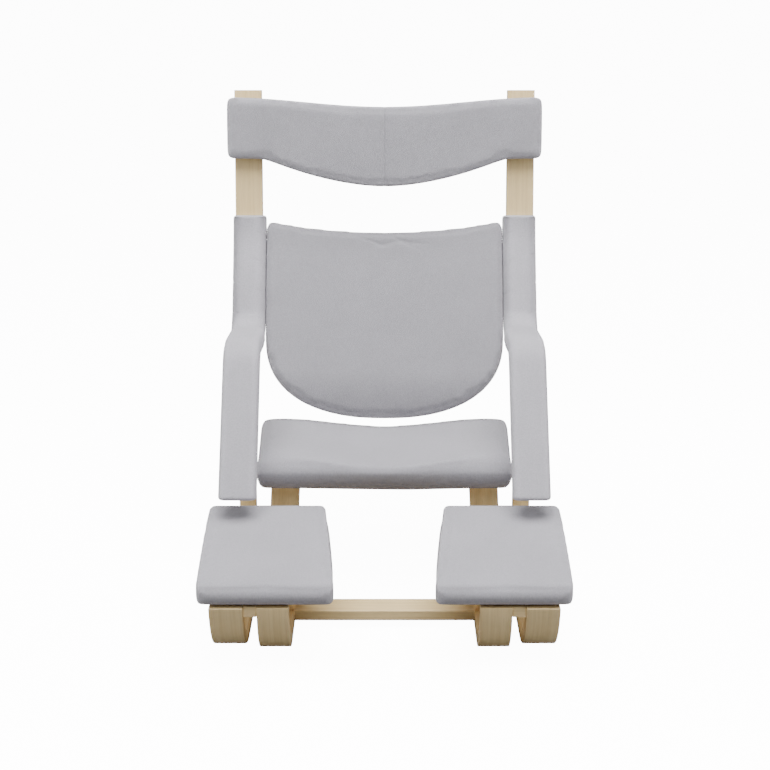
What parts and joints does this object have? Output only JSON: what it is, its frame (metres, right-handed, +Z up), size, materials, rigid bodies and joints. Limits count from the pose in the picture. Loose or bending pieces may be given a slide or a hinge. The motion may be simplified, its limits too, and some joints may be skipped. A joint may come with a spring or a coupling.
{
  "type": "kneeling massage chair",
  "caption": "Bent wood kneeling massage chair with grey padding: sled base, knee pads, dished seat, curved chest cushion, padded arms and a headrest that slides on its posts.",
  "frame": {"origin": "on the floor under the middle of the chair's bounding box", "axes": "+Z up, -Y is the front where the knee pads are, +X to the right of someone looking at the front"},
  "size_m": [0.71, 0.8999, 1.016],
  "materials": {
    "bent_wood": "clear satin lacquer",
    "plywood": "sanded",
    "fabric": "woven wool",
    "black_steel": "powder coat",
    "steel": "zinc plated",
    "knob_plastic": "matt",
    "rubber": "matt"
  },
  "bodies": {
    "frame": {"runner_left": "bent_wood", "runner_right": "bent_wood", "seat_beam_left": "bent_wood", "seat_beam_right": "bent_wood", "post_arm_left": "bent_wood", "post_arm_right": "bent_wood", "foot_bar": "bent_wood", "floor_strips": "rubber", "rear_leg_left": "bent_wood", "rear_leg_right": "bent_wood", "rear_strut_left": "bent_wood", "rear_strut_right": "bent_wood", "strut_tie_left": "bent_wood", "strut_tie_right": "bent_wood", "pad_cleat_left": "bent_wood", "pad_cleat_right": "bent_wood", "pad_riser_left": "bent_wood", "pad_riser_right": "bent_wood", "pad_base_left": "plywood", "pad_base_right": "plywood", "knee_pad_left": "fabric", "knee_pad_right": "fabric", "seat_bearer": "bent_wood", "back_rail_upper": "bent_wood", "back_rail_lower": "bent_wood", "rail_wedges": "bent_wood", "back_shell": "plywood", "back_cushion": "fabric", "post_sleeve_left": "fabric", "post_sleeve_right": "fabric", "arm_sleeve_left": "fabric", "arm_sleeve_right": "fabric", "rail_bolts": "steel", "foot_bar_bolts": "steel", "pad_brackets": "steel", "pad_screws": "steel"},
    "seat": {"seat_base": "plywood", "seat_cushion": "fabric"},
    "seat_knob_left": {"seat_knob_left": "knob_plastic"},
    "seat_knob_right": {"seat_knob_right": "knob_plastic"},
    "headrest": {"headrest_board": "plywood", "headrest_cushion": "fabric", "headrest_clamp_left": "black_steel", "headrest_clamp_right": "black_steel"},
    "headrest_knob_left": {"headrest_knob_left": "knob_plastic"},
    "headrest_knob_right": {"headrest_knob_right": "knob_plastic"}
  },
  "joints": [
    {"name": "headrest_slide", "type": "slide", "parent": "frame", "child": "headrest", "axis": [0, 0.1132, 0.9936], "range_m": [-0.08, 0.045]},
    {"name": "headrest_knob_left_turn", "type": "hinge", "parent": "headrest", "child": "headrest_knob_left", "pos_m": [-0.2965, 0.36612, 0.92702], "axis": [0, 0.9936, -0.1132], "range_deg": [0, 270]},
    {"name": "headrest_knob_right_turn", "type": "hinge", "parent": "headrest", "child": "headrest_knob_right", "pos_m": [0.2965, 0.36612, 0.92702], "axis": [0, 0.9936, -0.1132], "range_deg": [0, 270]},
    {"name": "seat_slide", "type": "slide", "parent": "frame", "child": "seat", "axis": [0, 0.9969, 0.0785], "range_m": [-0.02, 0.015]},
    {"name": "seat_knob_left_turn", "type": "hinge", "parent": "seat", "child": "seat_knob_left", "pos_m": [-0.12, 0.1186, 0.21378], "axis": [0, -0.0785, 0.9969], "range_deg": [0, 270]},
    {"name": "seat_knob_right_turn", "type": "hinge", "parent": "seat", "child": "seat_knob_right", "pos_m": [0.12, 0.1186, 0.21378], "axis": [0, -0.0785, 0.9969], "range_deg": [0, 270]}
  ]
}
